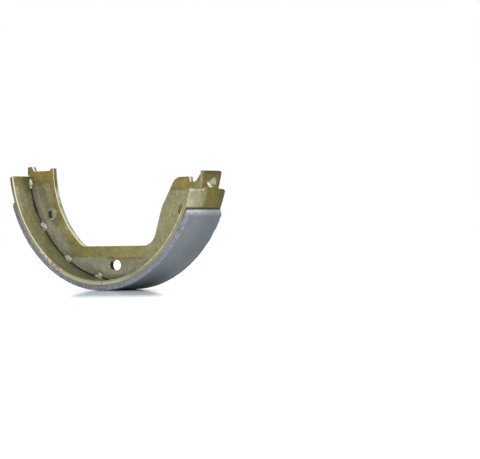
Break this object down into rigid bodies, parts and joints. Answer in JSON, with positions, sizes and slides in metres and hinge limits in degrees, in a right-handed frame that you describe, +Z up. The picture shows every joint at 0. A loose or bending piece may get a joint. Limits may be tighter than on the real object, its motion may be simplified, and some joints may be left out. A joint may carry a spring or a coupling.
{
  "type": "brake shoe",
  "caption": "Curved steel brake shoe: a bent rim with a welded crescent web, a bonded friction lining, horns and a notch at one end and a tongue at the other.",
  "frame": {"origin": "lowest line of the lining's working face, under the axis of the drum, in the middle of the width", "axes": "+X from the plain end to the tongue end, +Y across the width, +Z up to the axis of the drum, which runs along Y at z 82.5 mm"},
  "size_m": [0.1568, 0.0316, 0.0782],
  "materials": {
    "rim_steel": "satin, yellow zinc plating",
    "web_steel": "satin, yellow zinc plating",
    "lining": "matte, moulded friction material",
    "weld": "bright, as welded and plated"
  },
  "bodies": {
    "root": {"rim": "rim_steel", "web": "web_steel", "lining": "lining", "weld_nuggets": "weld"}
  },
  "joints": []
}
